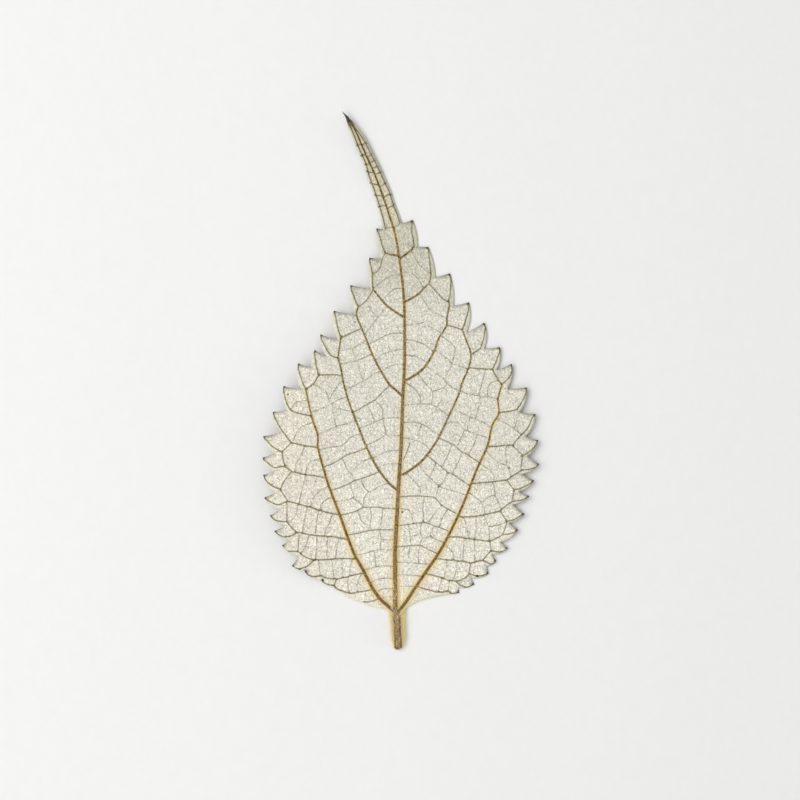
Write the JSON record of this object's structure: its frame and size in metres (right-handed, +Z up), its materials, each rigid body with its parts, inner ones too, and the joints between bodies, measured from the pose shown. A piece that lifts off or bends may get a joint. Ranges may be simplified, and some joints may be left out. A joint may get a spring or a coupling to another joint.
{
  "type": "pressed leaf",
  "caption": "Pressed dried leaf, broad and toothed with a long thin tail tip, felted vein side up on a short hairy stalk.",
  "frame": {"origin": "middle of the leaf's length and width, on the table it lies on", "axes": "+Y from the stalk towards the tail tip, +Z up off the table, towards the veined felted side"},
  "size_m": [0.0414, 0.0806, 0.0019],
  "materials": {
    "leaf_blade": "matte"
  },
  "bodies": {
    "root": {"leaf": "leaf_blade"}
  },
  "joints": []
}
